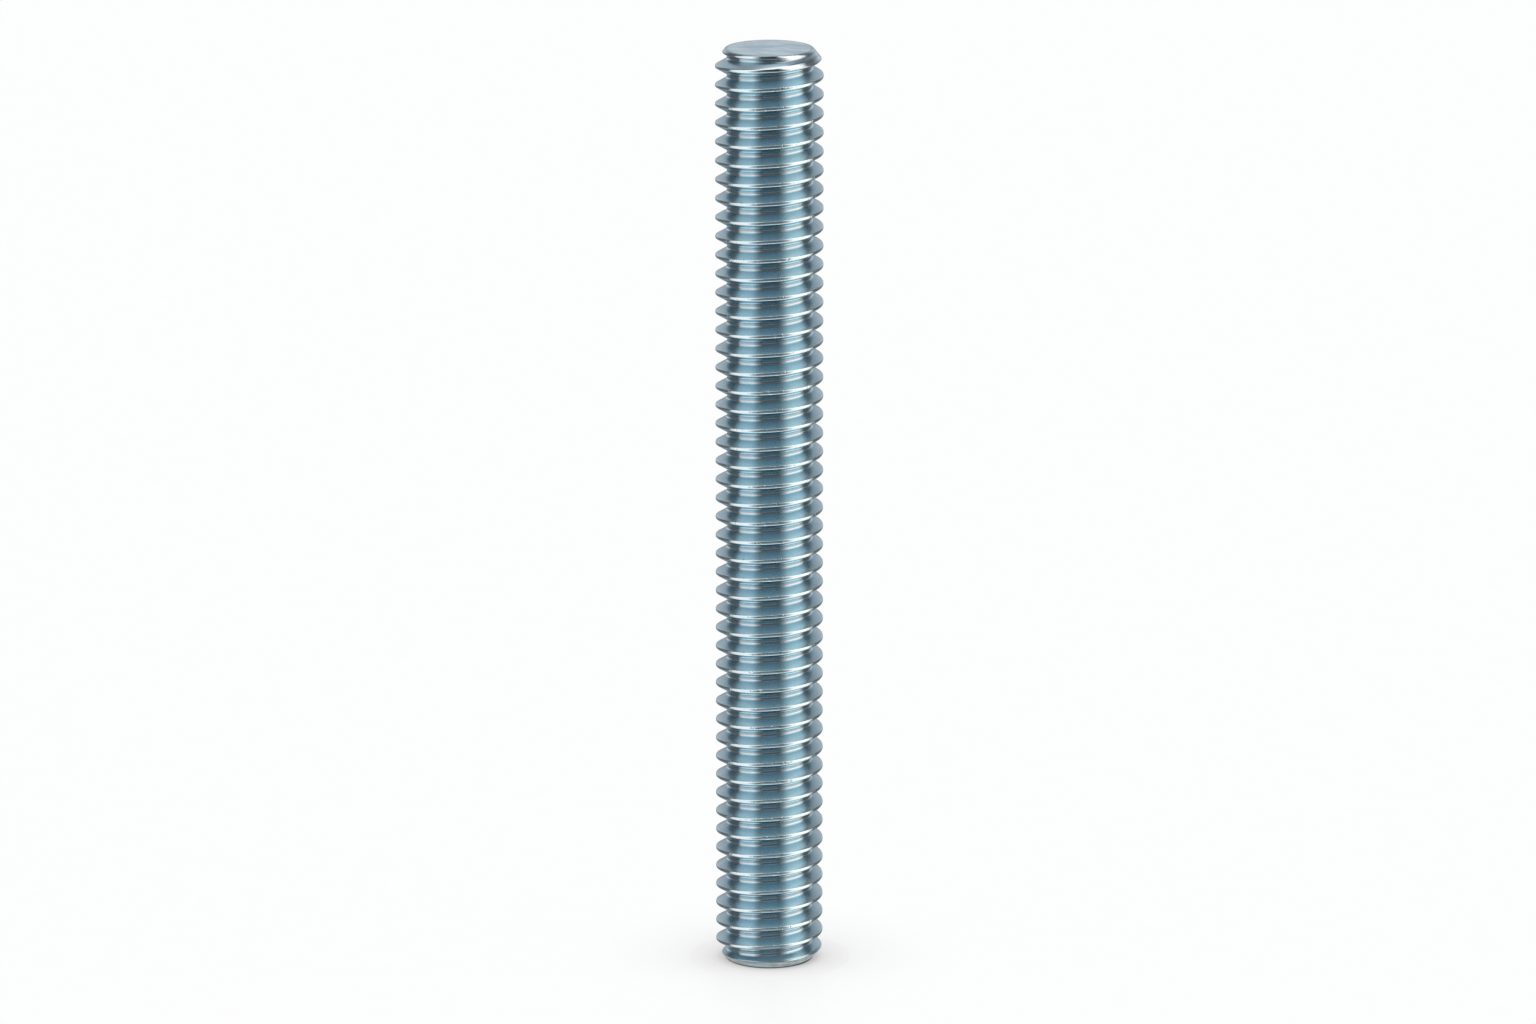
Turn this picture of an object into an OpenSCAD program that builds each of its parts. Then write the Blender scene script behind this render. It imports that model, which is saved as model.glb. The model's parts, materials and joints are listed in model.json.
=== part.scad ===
// Fully threaded rod: one solid steel bar that stands on an end face, with its axis on Z.
// It is drawn as the envelope of its thread. The shank is a plain cylinder over the crests,
// and each end is chamfered down to a flat face a little wider than the root of the thread.

/* [Thread] */
// Major diameter, over the crests of the thread
major_d = 7.94; // [5:0.01:40]
// Pitch, from one crest to the next along the axis
pitch = 1.411; // [0.5:0.001:2]

/* [Rod] */
// Length over the two end faces
rod_length = 69.1; // [20:0.1:1000]

/* [Ends] */
// Width of the thin ring that an end face keeps outside the root of the thread
end_lip = 0.13; // [0:0.01:0.3]
// Slope of the end chamfers, measured from the axis
chamfer_angle = 38; // [30:1:60]

/* [Hidden] */
$fn = 180;

// Depth of a 60 degree thread, as a share of its pitch: 17/24 of the full triangle's height.
depth_share = 17 / 24 * cos(30);

major_r = major_d / 2;
root_r = major_r - depth_share * pitch;
end_r = root_r + end_lip;
chamfer_length = (major_r - end_r) / tan(chamfer_angle);

// Half of the rod's section, from the axis outwards.
module half_section() {
    polygon([
        [0, 0],
        [end_r, 0],
        [major_r, chamfer_length],
        [major_r, rod_length - chamfer_length],
        [end_r, rod_length],
        [0, rod_length]
    ]);
}

module threaded_rod() {
    color([0.66, 0.75, 0.80])
        rotate_extrude()
            half_section();
}

threaded_rod();
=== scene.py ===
"""Looks of a fully threaded rod: its helical thread, its zinc plating, and a plain pale studio."""
import json
import math
import bpy
import numpy as np
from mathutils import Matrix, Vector


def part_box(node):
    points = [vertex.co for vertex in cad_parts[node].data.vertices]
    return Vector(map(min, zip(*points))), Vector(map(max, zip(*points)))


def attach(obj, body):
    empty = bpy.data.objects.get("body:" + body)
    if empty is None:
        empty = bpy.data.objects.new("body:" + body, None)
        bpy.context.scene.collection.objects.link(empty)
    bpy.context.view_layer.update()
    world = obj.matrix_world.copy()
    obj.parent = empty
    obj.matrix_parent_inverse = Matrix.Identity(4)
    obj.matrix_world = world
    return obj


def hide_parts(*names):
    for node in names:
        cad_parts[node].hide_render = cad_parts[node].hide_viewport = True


MM = 0.001

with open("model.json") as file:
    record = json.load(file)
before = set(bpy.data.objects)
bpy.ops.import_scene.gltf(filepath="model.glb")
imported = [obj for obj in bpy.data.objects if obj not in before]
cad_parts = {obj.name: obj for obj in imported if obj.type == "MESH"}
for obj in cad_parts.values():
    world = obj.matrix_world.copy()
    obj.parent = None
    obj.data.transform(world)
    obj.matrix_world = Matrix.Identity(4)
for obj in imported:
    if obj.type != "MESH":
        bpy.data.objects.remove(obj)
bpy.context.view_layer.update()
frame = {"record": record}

# ---------------------------------------------------------------- sizes, from the frame
SHANK = next(m for m in frame["record"]["mounts"] if m["name"] == "shank")
ROD_LOW, ROD_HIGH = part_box("threaded_rod")
LENGTH = ROD_HIGH.z - ROD_LOW.z
MAJOR_R = SHANK["dims"]["r_mm"] * MM
CHAMFER_LENGTH = (LENGTH - SHANK["dims"]["length_mm"] * MM) / 2

# ---------------------------------------------------------------- the thread
PITCH = 1.411 * MM
FLANK_ANGLE = math.radians(30)
# An outside thread is as deep as this share of its sharp triangle's height.
DEPTH_SHARE = 17 / 24
THREAD_DEPTH = DEPTH_SHARE * math.cos(FLANK_ANGLE) * PITCH
ROOT_R = MAJOR_R - THREAD_DEPTH
CREST_FLAT = 0.14 * PITCH
CREST_ROUND = 0.10 * MM
ROOT_ROUND = 0.18 * MM
# A crest passes the right-hand side of the rod this many pitches below the upper end face.
FIRST_CREST = 0.43

# ---------------------------------------------------------------- the ends
CHAMFER_ANGLE = math.radians(38)
END_R = MAJOR_R - CHAMFER_LENGTH * math.tan(CHAMFER_ANGLE)
EDGE_ROUND = 0.10 * MM
# How softly the thread meets the chamfer that cuts it.
CUT_BLEND = 0.10 * MM
# The corner just inside a crest, where its flank meets the chamfer, is worn rounder: by how much more, how
# many pitches in from the crest's centre, and how many pitches to each side of there.
WORN_BLEND = 0.28 * MM
WORN_PHASE = 0.14
WORN_REACH = 0.07
# Depths below an end face where the groove starts to run out and where it is gone.
UPPER_RUNOUT = (0.44 * MM, 0.12 * MM)
LOWER_RUNOUT = (0.60 * MM, 0.25 * MM)

# ---------------------------------------------------------------- the mesh
COLUMNS = 92
CREST_STEPS = 5
ROOT_STEPS = 5
# Steps of the outline that radii are read from, which is finer than the mesh.
FINE_STEPS = 40
# The rows near each end face are level and close together, instead of climbing with the thread.
END_ZONE = 1.5 * MM
END_ROW = 0.03 * MM
EDGE_STEPS = 5
# Points of one column whose heights agree to this many decimals of a millimetre are one point.
ROW_DECIMALS = 5
# How much the larger faces outweigh the narrow ones beside them in the shading, where 50 is neutral.
LAND_WEIGHT = 60

# ---------------------------------------------------------------- the camera
CAMERA_DISTANCE = 9.3 * LENGTH
CAMERA_ELEVATION = math.radians(14)
CAMERA_LENS = 203.9
CAMERA_SENSOR = 36.0
CAMERA_NEAR = 0.01
CAMERA_FAR = 20.0
AIM_DROP = 0.32 * MM
AIM_LEFT = 0.10 * MM

# ---------------------------------------------------------------- the plating's zones, in millimetres
# Each pair says where a zone begins to show and where it is full. Facing is the upward part of the normal.
# The cut's gap is how far the surface lies inside the chamfer's cone. The collar is the plain metal beside
# an end face, where the groove has run out.
MAJOR, ROOT, END = MAJOR_R / MM, ROOT_R / MM, END_R / MM
CUT_GAP = (0.07, 0.02)
COLLAR_DEPTH = (0.42, 0.30)
COLLAR_FACING = (0.65, 0.45)
COLLAR_RADIUS = (ROOT + 0.04, ROOT + 0.10)
FACE_DEPTH = (0.03, 0.01)
CREST_RADIUS = (MAJOR - 0.10, MAJOR - 0.02)
ROOT_RADIUS = (ROOT + 0.14, ROOT + 0.06)
FILLET_FACING = (0.15, 0.45)
UNDER_FACING = (0.3, -0.3)
RIM_RADIUS = (END - 0.24, END - 0.12)

# ---------------------------------------------------------------- the plating's marks
# Rolling marks and turning rings are noise, stretched along their run and squeezed across it.
MARK_ALONG, MARK_ACROSS = 0.5, 11.0
RING_ALONG, RING_ACROSS = 0.35, 7.0
MARK_DETAIL, MARK_ROUGHNESS = 3.0, 0.6
CLOUD_SCALE, CLOUD_DETAIL = 0.28, 2.0
PATCH_SCALE, PATCH_DETAIL, PATCH_ROUGHNESS = 1.1, 4.0, 0.6
SMEAR_ALONG, SMEAR_ACROSS = 0.5, 0.75
SMEAR_DETAIL, SMEAR_ROUGHNESS = 5.0, 0.62
NICK_SCALE, NICK_DETAIL = 3.4, 2.0
NICK_RANGE, NICK_DEPTH, NICK_ON_CUT = (0.60, 0.72), 1.6, 0.5
MARK_RELIEF, RING_RELIEF = 0.6, 0.8
RELIEF_STRENGTH, RELIEF_DISTANCE = 0.5, 0.010 * MM

# ---------------------------------------------------------------- the plating's colours
# Upper flanks are darker deep in the groove and lighter towards the crest: painted shade.
UPPER_SHADED, UPPER_LIT = (0.285, 0.435, 0.525), (0.525, 0.64, 0.685)
# Downward-facing flanks are paler, as painted light; the cloud between the two colours is random tone.
UNDER_LIT_BLUE, UNDER_LIT_PALE = (0.55, 0.79, 0.90), (0.59, 0.81, 0.88)
CLOUD_RANGE = (0.35, 0.65)
# The crests' pale colour is a painted highlight.
CREST_HIGHLIGHT, CREST_HIGHLIGHT_SHARE = (0.74, 0.87, 0.90), 0.85
# The roots' dark colour is painted shade in the bottom of the groove.
ROOT_SHADE, ROOT_SHADE_SHARE = (0.40, 0.44, 0.46), 0.9
# The root fillets' pale colour is a painted highlight.
FILLET_HIGHLIGHT, FILLET_HIGHLIGHT_SHARE = (0.69, 0.85, 0.91), 0.85
MARK_COLOUR, MARK_RANGE, MARK_SHARE = (0.40, 0.52, 0.60), (0.62, 0.35), 0.22
CUT_DARK, CUT_LIGHT, CUT_RANGE = (0.50, 0.60, 0.64), (0.80, 0.88, 0.90), (0.40, 0.62)
FACE_DARK, FACE_LIGHT, SMEAR_RANGE = (0.35, 0.51, 0.59), (0.74, 0.83, 0.87), (0.30, 0.70)
RING_COLOUR, RING_RANGE, RING_SHARE = (0.36, 0.46, 0.52), (0.60, 0.40), 0.12
RIM_COLOUR, RIM_SHARE = (0.16, 0.20, 0.23), 0.5

# ---------------------------------------------------------------- the plating's roughness
PATCH_RANGE = (0.3, 0.7)
SATIN_LEAST, SATIN_MOST = 0.24, 0.32
GLOSS_SHARE = 0.35
FACE_ROUGHNESS = 0.22

# ---------------------------------------------------------------- the floor
FLOOR_R = 1.2
WALL_R = 2.0
WALL_TOP = 2.5
CURVE_STEPS = 9
STAGE_STEPS = 64
PAPER_DARK, PAPER_LIGHT = 0.915, 0.925
GRAIN_SCALE, GRAIN_DETAIL = 400.0, 2.0
# The contact shadow is painted: ambient occlusion darkens the floor's glow near the rod.
SHADOW_REACH = 11 * MM
SHADOW_DEPTH = 0.62
SHADOW_SAMPLES = 5
# The painted shadow is weaker in front of the rod: places along Y, and the share of it that is left there.
SHADOW_FRONT = (-7 * MM, -1 * MM)
FRONT_SHARE = 0.55
SHEEN = 0.12
SHEEN_ROUGHNESS = 0.45

# ---------------------------------------------------------------- the table card
# Its glow holds a painted contact shadow: dark under the rod and dim beside it.
# Only reflections show it. The pairs are distances from the axis in millimetres.
CARD_R = 6 * MM
UNDER_ROD, UNDER_GLOW, CARD_GLOW = (3.22, 3.42), 0.03, 0.5
BESIDE_ROD, BESIDE_SHARE = (3.55, 3.9), 0.75
MOTTLE_SCALE, MOTTLE_DETAIL = 1.5, 2.0
MOTTLE_RANGE, MOTTLE_LEAST, MOTTLE_MOST = (0.2, 0.8), 0.85, 1.15

# ---------------------------------------------------------------- the front board
# Only reflections show it.
BOARD_AWAY = 150 * MM
BOARD_WIDE = 70 * MM
BOARD_LOW, BOARD_HIGH = -170 * MM, 60 * MM
# Glow of the board at heights in millimetres.
BOARD_GLOW = [(-155, (0.54, 0.66, 0.73)), (-86, (0.35, 0.39, 0.41)), (-60, (0.34, 0.40, 0.44)),
              (-37, (0.31, 0.38, 0.43)), (32, (0.12, 0.13, 0.14))]
# Towards its sides the board changes to a plain colour: the sky's own FRONT, and LOW_FRONT lower down.
# These are the distances from its middle and the heights, in millimetres, across which it changes.
BOARD_SIDE = (40.0, 68.0)
BOARD_FALL = (-30.0, -75.0)
FRONT = (0.165, 0.18, 0.19)
LOW_FRONT = (0.40, 0.415, 0.42)

# ---------------------------------------------------------------- the sky
LIGHT_TURN = math.radians(2)
GAP = (0.15, 0.16, 0.17)
LEFT_BANK = (1.17, 1.12, 1.12)
RIGHT_BANK = (1.40, 1.30, 1.24)
LOW_BACK = (0.28, 0.30, 0.32)
BACK = (0.61, 0.655, 0.70)
TOP_FRONT = (0.04, 0.04, 0.045)
OVERHEAD = (1.2, 1.2, 1.2)
TABLE = (1.46, 1.52, 1.56)
BENEATH = (0.72, 0.72, 0.72)
# The light round the horizon: degrees from straight in front, positive to the right as the camera sees it,
# with the light that stands there and how much of it shows.
HORIZON = [(-180, "back", 1.0), (-156, "back", 1.0), (-132, "gap", 1.0), (-98, "gap", 1.0),
           (-92, "left", 0.7), (-82, "left", 0.9), (-50, "left", 1.0), (-37, "left", 0.42),
           (-25, "front", 1.0), (25, "front", 1.0), (37, "left", 0.42), (50, "right", 0.9),
           (60, "right", 1.0), (88, "right", 1.0), (98, "right", 0.6), (106, "gap", 1.0),
           (126, "gap", 1.0), (153, "back", 1.0), (180, "back", 1.0)]
# Heights, from -1 straight down to 1 straight up, across which one part of the sky turns into the next.
LOW_TO_MIDDLE = (-0.15, 0.10)
MIDDLE_TO_TOP = (0.3, 0.6)
TO_BENEATH, BENEATH_SHARE = (-0.3, -0.7), 0.45
TO_TABLE = (-0.76, -0.88)
TO_OVERHEAD = (0.93, 0.98)
# The banks are this much brighter in the upper sky.
TOP_GAIN = 1.15
# The sky's levels go above 1, so they are scaled to fit a colour ramp and its strength makes up for it.
LEVEL_SCALE = 0.5


# ================================================================ geometry

def arc(centre, radius, start, stop, count):
    """Points on an arc from angle start to angle stop, both ends included."""
    angles = np.linspace(start, stop, count)
    return [(centre[0] + radius * math.cos(a), centre[1] + radius * math.sin(a)) for a in angles]


def thread_outline(crest_steps, root_steps):
    """One pitch of the thread's section, as rows of (height above a crest's centre, radius)."""
    turn = math.pi / 2 - FLANK_ANGLE
    corner = CREST_FLAT / 2
    foot = corner + THREAD_DEPTH * math.tan(FLANK_ANGLE)
    crest_centre = (corner - CREST_ROUND * math.tan(turn / 2), MAJOR_R - CREST_ROUND)
    root_centre = (foot + ROOT_ROUND * math.tan(turn / 2), ROOT_R + ROOT_ROUND)
    up, down = math.pi / 2, -math.pi / 2
    half = arc(crest_centre, CREST_ROUND, up, up - turn, crest_steps)
    half += arc(root_centre, ROOT_ROUND, down - turn, down, root_steps)
    other = [(PITCH - height, radius) for height, radius in reversed(half)]
    return np.array(half + other)


ROWS = thread_outline(CREST_STEPS, ROOT_STEPS)[:, 0]
SECTION = thread_outline(FINE_STEPS, FINE_STEPS)


def thread_radius(height):
    """Radius of the thread at heights measured from a crest's centre."""
    heights = np.concatenate([[0.0], SECTION[:, 0], [PITCH]])
    radii = np.concatenate([[MAJOR_R], SECTION[:, 1], [MAJOR_R]])
    return np.interp(np.mod(height, PITCH), heights, radii)


def end_radius(depth):
    """Radius of the chamfer, with its rounded edge, at a depth below an end face."""
    cone = END_R + depth * math.tan(CHAMFER_ANGLE)
    inset = EDGE_ROUND * math.tan((math.pi / 2 - CHAMFER_ANGLE) / 2)
    edge_depth = EDGE_ROUND * (1 - math.sin(CHAMFER_ANGLE))
    drop = EDGE_ROUND - np.minimum(depth, EDGE_ROUND)
    rounded = END_R - inset + np.sqrt(EDGE_ROUND ** 2 - drop ** 2)
    return np.where(depth < edge_depth, rounded, cone)


def crest_height(angle):
    """Height of a crest's centre at an angle round the axis: the thread is right-handed."""
    return LENGTH - FIRST_CREST * PITCH + PITCH * angle / (2 * math.pi)


def run_out(thread, cone, depth, upper):
    """Radius of the thread, with its groove filled up to the chamfer close to an end face."""
    start, gone = np.where(upper[:, None], UPPER_RUNOUT, LOWER_RUNOUT).T
    filled = np.clip((start - depth) / (start - gone), 0.0, 1.0)
    return thread + filled * np.maximum(cone - thread, 0.0)


def corner_blend(above_crest, upper):
    """How softly the thread meets the chamfer: more so just inside a crest."""
    inward = np.where(upper, -1.0, 1.0)
    phase = np.mod(inward * above_crest / PITCH, 1.0)
    worn = np.clip(1.0 - np.abs(phase - WORN_PHASE) / WORN_REACH, 0.0, 1.0)
    return CUT_BLEND + WORN_BLEND * worn * worn * (3.0 - 2.0 * worn)


def soft_minimum(a, b, blend):
    """The smaller of two values, rounded off where they are closer than the blend."""
    share = np.clip(0.5 + 0.5 * (a - b) / blend, 0.0, 1.0)
    return a + (b - a) * share - blend * share * (1.0 - share)


def rod_radius(angle, height):
    """Radius of the rod: its thread, cut by the chamfers with blunt edges."""
    upper = height > LENGTH / 2
    above_crest = height - crest_height(angle)
    depth = np.clip(np.minimum(height, LENGTH - height), 0.0, None)
    cone = end_radius(depth)
    thread = run_out(thread_radius(above_crest), cone, depth, upper)
    return soft_minimum(cone, thread, corner_blend(above_crest, upper))


def end_rows():
    """Row heights of the lower end: close together on the rounded edge, then even."""
    edge_depth = EDGE_ROUND * (1 - math.sin(CHAMFER_ANGLE))
    edge = edge_depth * np.linspace(0.0, 1.0, EDGE_STEPS) ** 2
    even = np.arange(edge_depth + END_ROW, END_ZONE - END_ROW / 2, END_ROW)
    return np.concatenate([edge, even, [END_ZONE]])


def middle_rows(column):
    """Row heights between the two ends, which climb with the thread from column to column."""
    # There are spare turns past both ends, whose rows all clip to the ends' own last rows.
    turns = np.arange(-math.ceil(LENGTH / PITCH) - 1, 3) * PITCH
    rows = crest_height(2 * math.pi * column / COLUMNS) + (turns[:, None] + ROWS[None, :]).ravel()
    return np.clip(rows, END_ZONE, LENGTH - END_ZONE)


def column_rows(column):
    """Row heights of one whole column of points."""
    ends = end_rows()
    return np.concatenate([ends, middle_rows(column), LENGTH - ends[::-1]])


def rod_mesh():
    """The whole rod as one closed mesh, column by column round the axis."""
    keys, faces = {}, []
    heights = [column_rows(column) for column in range(COLUMNS + 1)]

    def point(column, height):
        key = (column % COLUMNS, round(height / MM, ROW_DECIMALS))
        return keys.setdefault(key, len(keys))

    for column in range(COLUMNS):
        left = [point(column, height) for height in heights[column]]
        right = [point(column + 1, height) for height in heights[column + 1]]
        for row in range(len(left) - 1):
            corners = dict.fromkeys([left[row], right[row], right[row + 1], left[row + 1]])
            if len(corners) > 2:
                faces.append(list(corners))
    faces.append([point(column, 0.0) for column in reversed(range(COLUMNS))])
    faces.append([point(column, LENGTH) for column in range(COLUMNS)])

    places = np.array(list(keys))
    angle = 2 * math.pi * places[:, 0] / COLUMNS
    height = places[:, 1] * MM
    radius = rod_radius(angle, height)
    points = np.stack([radius * np.cos(angle), radius * np.sin(angle), height], axis=1)
    mesh = bpy.data.meshes.new("threaded_rod_skin")
    mesh.from_pydata(points.tolist(), [], faces)
    mesh.shade_smooth()
    return mesh


def new_object(name, mesh, material):
    """A mesh placed in the scene, with its material."""
    made = bpy.data.objects.new(name, mesh)
    made.data.materials.append(material)
    bpy.context.scene.collection.objects.link(made)
    return made


def build_rod():
    """The threaded rod, which stands for the plain CAD node."""
    rod = new_object("threaded_rod_skin", rod_mesh(), zinc_plate())
    normals = rod.modifiers.new("flat_lands", "WEIGHTED_NORMAL")
    normals.mode = "FACE_AREA"
    normals.weight = LAND_WEIGHT
    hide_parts("threaded_rod")
    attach(rod, "root")


# ================================================================ materials

class Nodes:
    """Short calls for building a node tree."""

    def __init__(self, owner):
        owner.use_nodes = True
        self.tree = owner.node_tree
        self.tree.nodes.clear()

    def add(self, kind, inputs=(), **settings):
        node = self.tree.nodes.new(kind)
        for name, value in settings.items():
            setattr(node, name, value)
        for name, value in dict(inputs).items():
            self.put(node.inputs[name], value)
        return node

    def put(self, socket, value):
        """Feed a socket from another socket, a colour of three levels or a plain number."""
        if isinstance(value, bpy.types.NodeSocket):
            self.tree.links.new(value, socket)
        elif isinstance(value, tuple):
            socket.default_value = (*value, 1.0)
        else:
            socket.default_value = value

    def math(self, operation, a, b=0.0):
        return self.add("ShaderNodeMath", {0: a, 1: b}, operation=operation).outputs[0]

    def ramp(self, value, stops):
        """A colour that changes evenly along stops of (place, colour)."""
        node = self.add("ShaderNodeValToRGB", {"Fac": value})
        marks = node.color_ramp.elements
        while len(marks) < len(stops):
            marks.new(1.0)
        for mark, (place, colour) in zip(marks, stops):
            mark.position = place
            mark.color = (*colour, 1.0)
        return node.outputs["Color"]

    def fade(self, value, start, stop, low=0.0, high=1.0):
        """low before start, high after stop, and a smooth step between."""
        inputs = {"Value": value, "From Min": start, "From Max": stop, "To Min": low, "To Max": high}
        return self.add("ShaderNodeMapRange", inputs, interpolation_type="SMOOTHSTEP").outputs["Result"]

    def mix(self, share, a, b, blend="MIX"):
        inputs = {"Factor": share, "A": a, "B": b}
        node = self.add("ShaderNodeMix", data_type="RGBA", blend_type=blend, clamp_factor=True)
        for name, value in inputs.items():
            sockets = [s for s in node.inputs if s.name == name and s.enabled]
            self.put(sockets[0], value)
        return next(s for s in node.outputs if s.enabled)

    def scaled(self, vector, factor):
        inputs = {0: vector, "Scale": factor}
        return self.add("ShaderNodeVectorMath", inputs, operation="SCALE").outputs[0]

    def sum(self, a, b):
        return self.add("ShaderNodeVectorMath", {0: a, 1: b}, operation="ADD").outputs[0]

    def vector(self, x, y, z):
        return self.add("ShaderNodeCombineXYZ", {"X": x, "Y": y, "Z": z}).outputs[0]

    def parts(self, vector):
        return self.add("ShaderNodeSeparateXYZ", {0: vector}).outputs

    def place(self):
        """Where the shaded point lies on its object, in millimetres."""
        return self.scaled(self.add("ShaderNodeTexCoord").outputs["Object"], 1 / MM)

    def noise(self, vector, scale, detail, roughness=0.5):
        inputs = {"Vector": vector, "Scale": scale, "Detail": detail, "Roughness": roughness}
        return self.add("ShaderNodeTexNoise", inputs).outputs["Fac"]

    def show(self, shader):
        """Make a shader the look of the material."""
        self.add("ShaderNodeOutputMaterial", {"Surface": shader.outputs[0]})


def grey(level):
    """A colour without a hue."""
    return (level, level, level)


def rod_zones(n, place, radius):
    """Masks of the parts of the rod's surface, each 1 inside its part and 0 outside."""
    z = n.parts(place)["Z"]
    facing = n.parts(n.add("ShaderNodeTexCoord").outputs["Normal"])["Z"]
    depth = n.math("MINIMUM", z, n.math("SUBTRACT", LENGTH / MM, z))
    cone = n.math("ADD", n.math("MULTIPLY", depth, math.tan(CHAMFER_ANGLE)), END)
    cut = n.fade(n.math("SUBTRACT", cone, radius), *CUT_GAP)
    collar = n.math("MULTIPLY", n.fade(depth, *COLLAR_DEPTH), n.fade(facing, *COLLAR_FACING))
    collar = n.math("MULTIPLY", collar, n.fade(radius, *COLLAR_RADIUS))
    root = n.fade(radius, *ROOT_RADIUS)
    return {
        "cut": n.math("MAXIMUM", cut, collar),
        "face": n.fade(depth, *FACE_DEPTH),
        "crest": n.fade(radius, *CREST_RADIUS),
        "root": root,
        "fillet": n.math("MULTIPLY", root, n.fade(n.math("ABSOLUTE", facing), *FILLET_FACING)),
        "under": n.fade(facing, *UNDER_FACING)}


def rolling_marks(n, place):
    """Marks that run along the thread."""
    x, y, z = n.parts(place)
    turn = n.math("DIVIDE", n.math("ARCTAN2", y, x), 2 * math.pi)
    across = n.math("FRACT", n.math("SUBTRACT", n.math("DIVIDE", z, PITCH / MM), turn))
    lane = n.vector(0.0, 0.0, n.math("MULTIPLY", across, MARK_ACROSS))
    stretched = n.sum(n.scaled(place, MARK_ALONG), lane)
    return n.noise(stretched, 1.0, MARK_DETAIL, MARK_ROUGHNESS)


def turning_rings(n, place, radius):
    """Marks that ring the end faces and the chamfers."""
    ring = n.vector(n.math("MULTIPLY", radius, RING_ACROSS), 0.0, 0.0)
    stretched = n.sum(n.scaled(place, RING_ALONG), ring)
    return n.noise(stretched, 1.0, MARK_DETAIL, MARK_ROUGHNESS)


def face_smears(n, place):
    """Soft streaks across the end faces."""
    x, y, z = n.parts(place)
    along = n.math("MULTIPLY", n.math("ADD", x, y), SMEAR_ALONG)
    drag = n.vector(along, n.math("MULTIPLY", y, SMEAR_ACROSS), z)
    return n.noise(drag, 1.0, SMEAR_DETAIL, SMEAR_ROUGHNESS)


def thread_colour(n, zones, place, radius, marks):
    """Blue flanks with painted light and shade: darker deep down, paler underneath, pale crests and
    fillets, dark roots.
    """
    cloud = n.noise(place, CLOUD_SCALE, CLOUD_DETAIL)
    # Painted shade: the upper flanks darken from the crest down to the root.
    upper = n.mix(n.fade(radius, ROOT, MAJOR), UPPER_SHADED, UPPER_LIT)
    # Painted light: downward-facing flanks get a paler colour, varied at random by the cloud.
    under = n.mix(n.fade(cloud, *CLOUD_RANGE), UNDER_LIT_BLUE, UNDER_LIT_PALE)
    colour = n.mix(zones["under"], upper, under)
    # Painted highlight along the crests.
    colour = n.mix(n.math("MULTIPLY", zones["crest"], CREST_HIGHLIGHT_SHARE), colour, CREST_HIGHLIGHT)
    # Painted shade in the roots.
    colour = n.mix(n.math("MULTIPLY", zones["root"], ROOT_SHADE_SHARE), colour, ROOT_SHADE)
    # Painted highlight on the root fillets.
    colour = n.mix(n.math("MULTIPLY", zones["fillet"], FILLET_HIGHLIGHT_SHARE), colour, FILLET_HIGHLIGHT)
    return n.mix(n.fade(marks, *MARK_RANGE, 0.0, MARK_SHARE), colour, MARK_COLOUR)


def face_colour(n, place, radius, rings):
    """Smeared and faintly ringed metal, darker at its rim."""
    colour = n.mix(n.fade(face_smears(n, place), *SMEAR_RANGE), FACE_DARK, FACE_LIGHT)
    colour = n.mix(n.fade(rings, *RING_RANGE, 0.0, RING_SHARE), colour, RING_COLOUR)
    return n.mix(n.fade(radius, *RIM_RADIUS, 0.0, RIM_SHARE), colour, RIM_COLOUR)


def plate_roughness(n, zones, place):
    """Satin flanks in faint patches, and everything else glossier."""
    patches = n.noise(place, PATCH_SCALE, PATCH_DETAIL, PATCH_ROUGHNESS)
    satin = n.fade(patches, *PATCH_RANGE, SATIN_LEAST, SATIN_MOST)
    gloss = n.math("MAXIMUM", n.math("MAXIMUM", zones["crest"], zones["root"]),
                   n.math("MAXIMUM", zones["under"], zones["cut"]))
    rough = n.math("MULTIPLY", satin, n.fade(gloss, 0.0, 1.0, 1.0, GLOSS_SHARE))
    return n.math("MAXIMUM", rough, n.math("MULTIPLY", zones["face"], FACE_ROUGHNESS))


def plate_relief(n, zones, place, marks, rings):
    """Rolling marks on the thread, rings on the ends, and nicks on the crests and chamfers."""
    on_thread = n.math("SUBTRACT", MARK_RELIEF, n.math("MULTIPLY", zones["face"], MARK_RELIEF))
    on_ends = n.math("MULTIPLY", n.math("MAXIMUM", zones["face"], zones["cut"]), RING_RELIEF)
    relief = n.math("ADD", n.math("MULTIPLY", marks, on_thread), n.math("MULTIPLY", rings, on_ends))
    nicks = n.fade(n.noise(place, NICK_SCALE, NICK_DETAIL), *NICK_RANGE, 0.0, NICK_DEPTH)
    nicked = n.math("MAXIMUM", zones["crest"], n.math("MULTIPLY", zones["cut"], NICK_ON_CUT))
    relief = n.math("SUBTRACT", relief, n.math("MULTIPLY", nicks, nicked))
    inputs = {"Strength": RELIEF_STRENGTH, "Distance": RELIEF_DISTANCE, "Height": relief}
    return n.add("ShaderNodeBump", inputs).outputs[0]


def zinc_plate():
    """Bright zinc with a blue passivation: satin flanks, polished crests and chamfers, and painted light
    and shade on the thread.
    """
    material = bpy.data.materials.new("zinc_plate")
    n = Nodes(material)
    place = n.place()
    x, y = n.parts(place)[:2]
    radius = n.math("SQRT", n.math("ADD", n.math("MULTIPLY", x, x), n.math("MULTIPLY", y, y)))
    zones = rod_zones(n, place, radius)
    marks = rolling_marks(n, place)
    rings = turning_rings(n, place, radius)

    colour = thread_colour(n, zones, place, radius, marks)
    colour = n.mix(zones["cut"], colour, n.mix(n.fade(rings, *CUT_RANGE), CUT_DARK, CUT_LIGHT))
    colour = n.mix(zones["face"], colour, face_colour(n, place, radius, rings))
    n.show(n.add("ShaderNodeBsdfPrincipled", {
        "Base Color": colour,
        "Metallic": 1.0,
        "Roughness": plate_roughness(n, zones, place),
        "Normal": plate_relief(n, zones, place, marks, rings)}))
    return material


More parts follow.
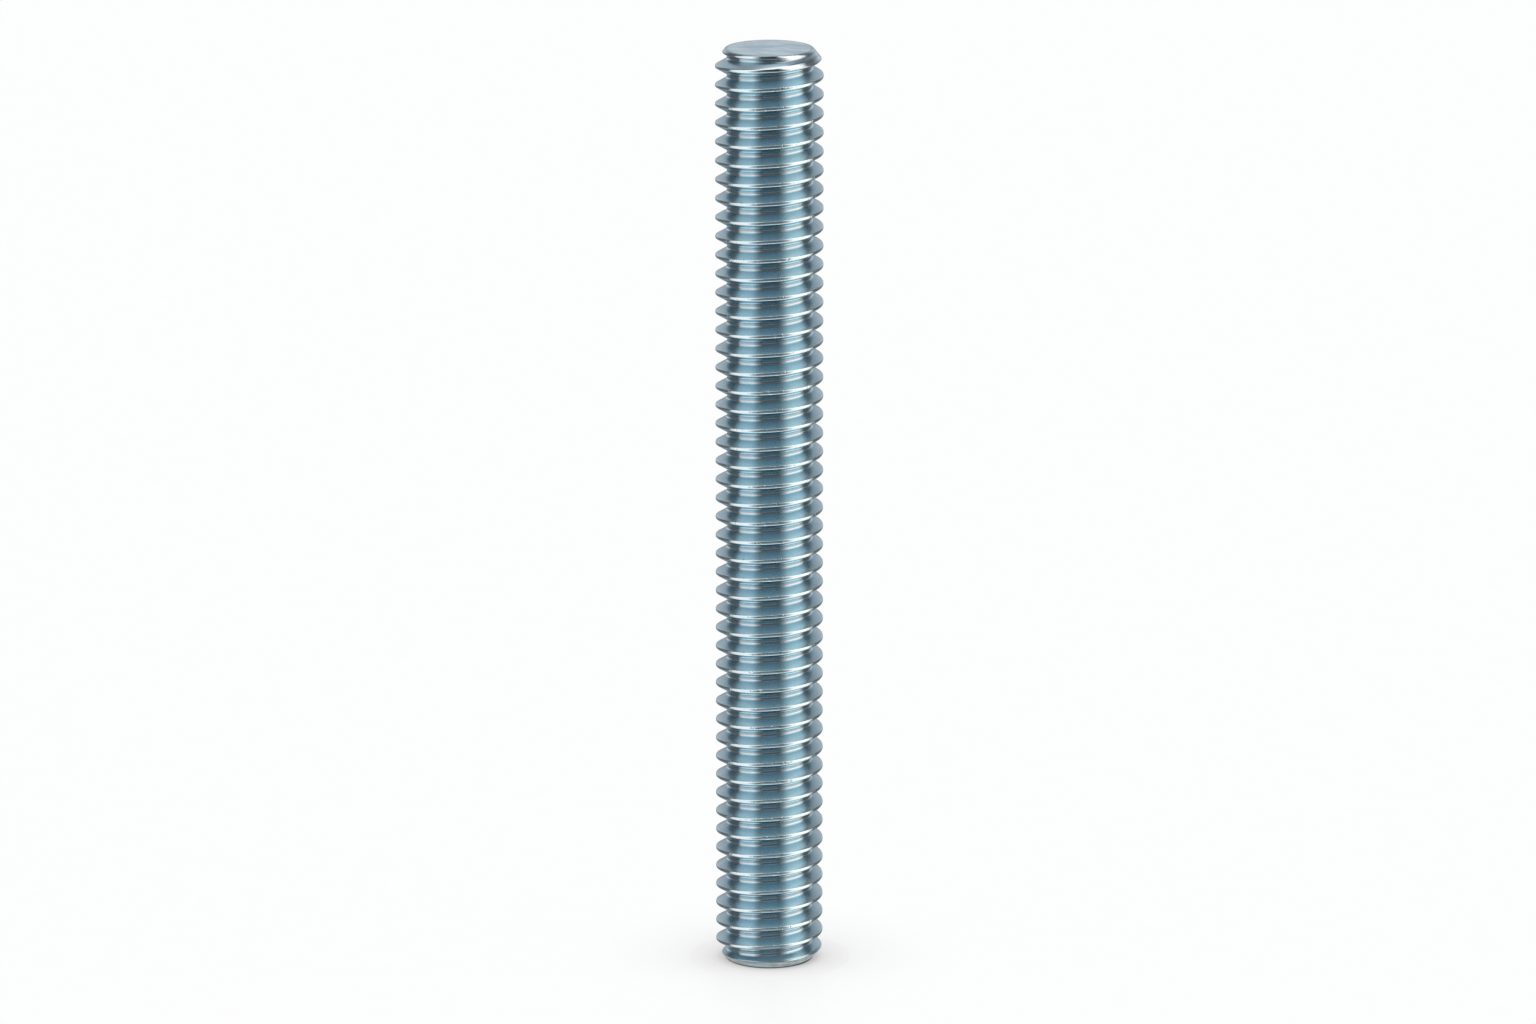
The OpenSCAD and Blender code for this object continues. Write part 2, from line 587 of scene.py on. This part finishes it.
def pale_paper():
    """The floor and backdrop: almost white, with a faint grain, a painted soft contact shadow and a sheen.
    """
    material = bpy.data.materials.new("pale_paper")
    n = Nodes(material)
    place = n.add("ShaderNodeTexCoord").outputs["Object"]
    grain = n.noise(place, GRAIN_SCALE, GRAIN_DETAIL)
    colour = n.mix(grain, grey(PAPER_DARK), grey(PAPER_LIGHT))
    # Painted contact shadow: the glow darkens where ambient occlusion finds the rod close by.
    near = n.add("ShaderNodeAmbientOcclusion", {"Distance": SHADOW_REACH}, samples=SHADOW_SAMPLES)
    gloom = n.fade(near.outputs["AO"], 1.0, 0.0, 0.0, SHADOW_DEPTH)
    lift = n.fade(n.parts(place)["Y"], *SHADOW_FRONT, FRONT_SHARE, 1.0)
    shade = n.math("SUBTRACT", 1.0, n.math("MULTIPLY", gloom, lift))
    glow = n.add("ShaderNodeEmission", {"Color": n.mix(1.0, colour, shade, "MULTIPLY")})
    sheen = n.add("ShaderNodeBsdfGlossy", {"Color": grey(SHEEN), "Roughness": SHEEN_ROUGHNESS})
    n.show(n.add("ShaderNodeAddShader", {0: glow.outputs[0], 1: sheen.outputs[0]}))
    return material


def shaded_table():
    """What the lowest metal reflects: the table close to the rod, with painted shade dark under it and dim
    beside it.
    """
    material = bpy.data.materials.new("shaded_table")
    n = Nodes(material)
    place = n.place()
    away = n.add("ShaderNodeVectorMath", {0: place}, operation="LENGTH").outputs["Value"]
    # Painted shade: the glow is dark under the rod and dim beside it; the mottle is random tone.
    under = n.fade(away, *UNDER_ROD, UNDER_GLOW, CARD_GLOW)
    beside = n.fade(away, *BESIDE_ROD, 1.0, BESIDE_SHARE)
    mottle = n.noise(place, MOTTLE_SCALE, MOTTLE_DETAIL)
    mottle = n.fade(mottle, *MOTTLE_RANGE, MOTTLE_LEAST, MOTTLE_MOST)
    level = n.math("MULTIPLY", n.math("MULTIPLY", under, beside), mottle)
    n.show(n.add("ShaderNodeEmission", {"Strength": level}))
    return material


def dim_front():
    """What the middle of the rod reflects: the dim front of the room, lighter towards the table."""
    material = bpy.data.materials.new("dim_front")
    n = Nodes(material)
    place = n.parts(n.place())
    low, high = BOARD_LOW / MM, BOARD_HIGH / MM
    climb = n.math("DIVIDE", n.math("SUBTRACT", place["Z"], low), high - low)
    middle = n.ramp(climb, [((height - low) / (high - low), glow) for height, glow in BOARD_GLOW])
    side = n.mix(n.fade(place["Z"], *BOARD_FALL), FRONT, LOW_FRONT)
    colour = n.mix(n.fade(n.math("ABSOLUTE", place["X"]), *BOARD_SIDE), middle, side)
    n.show(n.add("ShaderNodeEmission", {"Color": colour}))
    return material


# ================================================================ studio

def turned(name, outline, steps, material):
    """A surface turned round the axis from an outline of (radius, height), with a disc in its start."""
    points, faces = [], []
    for step in range(steps):
        angle = 2 * math.pi * step / steps
        points += [(r * math.cos(angle), r * math.sin(angle), z) for r, z in outline]
    count = len(outline)
    for step in range(steps):
        here, there = step * count, (step + 1) % steps * count
        faces += [(here + i, there + i, there + i + 1, here + i + 1) for i in range(count - 1)]
    faces.append([step * count for step in reversed(range(steps))])
    mesh = bpy.data.meshes.new(name)
    mesh.from_pydata(points, [], faces)
    mesh.shade_smooth()
    made = new_object(name, mesh, material)
    return made


def front_board():
    """An upright board in front of the rod, which only reflections show."""
    mesh = bpy.data.meshes.new("front_board")
    corners = [(-BOARD_WIDE, BOARD_LOW), (-BOARD_WIDE, BOARD_HIGH), (BOARD_WIDE, BOARD_HIGH),
               (BOARD_WIDE, BOARD_LOW)]
    mesh.from_pydata([(x, -BOARD_AWAY, z) for x, z in corners], [], [(0, 1, 2, 3)])
    board = new_object("front_board", mesh, dim_front())
    return board


def build_stage():
    """A pale sweep that the camera sees, and a card and a board that only reflections show."""
    rise = WALL_R - FLOOR_R
    curve = arc((FLOOR_R, rise), rise, -math.pi / 2, 0.0, CURVE_STEPS)
    floor = turned("floor", curve + [(WALL_R, WALL_TOP)], STAGE_STEPS, pale_paper())
    floor.visible_glossy = False
    floor.visible_diffuse = False
    floor.visible_shadow = False
    card = turned("table_card", [(CARD_R / 2, 0.0), (CARD_R, 0.0)], STAGE_STEPS, shaded_table())
    board = front_board()
    for prop in (card, board):
        prop.visible_camera = False
        prop.visible_diffuse = False
        prop.visible_shadow = False


def shade_of(light, factor):
    """A light level made weaker or stronger."""
    return tuple(level * factor for level in light)


def horizon(n, swing, front, back, gain):
    """One band of the sky: the light banks to the left and right, and what is between them."""
    sources = {"front": front, "back": back, "gap": GAP,
               "left": shade_of(LEFT_BANK, gain), "right": shade_of(RIGHT_BANK, gain)}
    return n.ramp(swing, [(0.5 + degrees / 360, shade_of(sources[source], share * LEVEL_SCALE))
                          for degrees, source, share in HORIZON])


def build_world():
    """Soft light from two tall banks, with a dim front, dark gaps behind the banks and a pale back."""
    world = bpy.data.worlds.new("studio")
    bpy.context.scene.world = world
    n = Nodes(world)
    inputs = {"Vector": n.add("ShaderNodeTexCoord").outputs["Generated"], "Angle": -LIGHT_TURN}
    aim = n.add("ShaderNodeVectorRotate", inputs, rotation_type="Z_AXIS")
    x, y, z = n.parts(aim.outputs[0])
    # From 0 to 1 round the rod, with 0.5 straight in front.
    swing = n.math("DIVIDE", n.math("ARCTAN2", x, n.math("MULTIPLY", y, -1.0)), 2 * math.pi)
    swing = n.math("ADD", swing, 0.5)

    low = horizon(n, swing, FRONT, LOW_BACK, 1.0)
    middle = horizon(n, swing, FRONT, BACK, 1.0)
    top = horizon(n, swing, TOP_FRONT, BACK, TOP_GAIN)
    level = n.mix(n.fade(z, *LOW_TO_MIDDLE), low, middle)
    level = n.mix(n.fade(z, *MIDDLE_TO_TOP), level, top)
    level = n.mix(n.fade(z, *TO_BENEATH, 0.0, BENEATH_SHARE), level, shade_of(BENEATH, LEVEL_SCALE))
    level = n.mix(n.fade(z, *TO_TABLE), level, shade_of(TABLE, LEVEL_SCALE))
    level = n.mix(n.fade(z, *TO_OVERHEAD), level, shade_of(OVERHEAD, LEVEL_SCALE))
    light = n.add("ShaderNodeBackground", {"Color": level, "Strength": 1 / LEVEL_SCALE})
    n.add("ShaderNodeOutputWorld", {"Surface": light.outputs[0]})


def build_camera():
    """A long lens, looking slightly down at the middle of the rod."""
    data = bpy.data.cameras.new("camera")
    data.lens = CAMERA_LENS
    data.sensor_width = CAMERA_SENSOR
    data.clip_start = CAMERA_NEAR
    data.clip_end = CAMERA_FAR
    camera = bpy.data.objects.new("camera", data)
    bpy.context.scene.collection.objects.link(camera)
    middle = Vector((0.0, 0.0, LENGTH / 2))
    back = Vector((0.0, -math.cos(CAMERA_ELEVATION), math.sin(CAMERA_ELEVATION)))
    camera.location = middle + back * CAMERA_DISTANCE
    aim = middle - Vector((AIM_LEFT, 0.0, AIM_DROP))
    camera.rotation_mode = "QUATERNION"
    camera.rotation_quaternion = (aim - camera.location).to_track_quat("-Z", "Y")
    bpy.context.scene.camera = camera


build_camera()
build_rod()
build_stage()
build_world()
bpy.context.scene.view_settings.view_transform = "Standard"
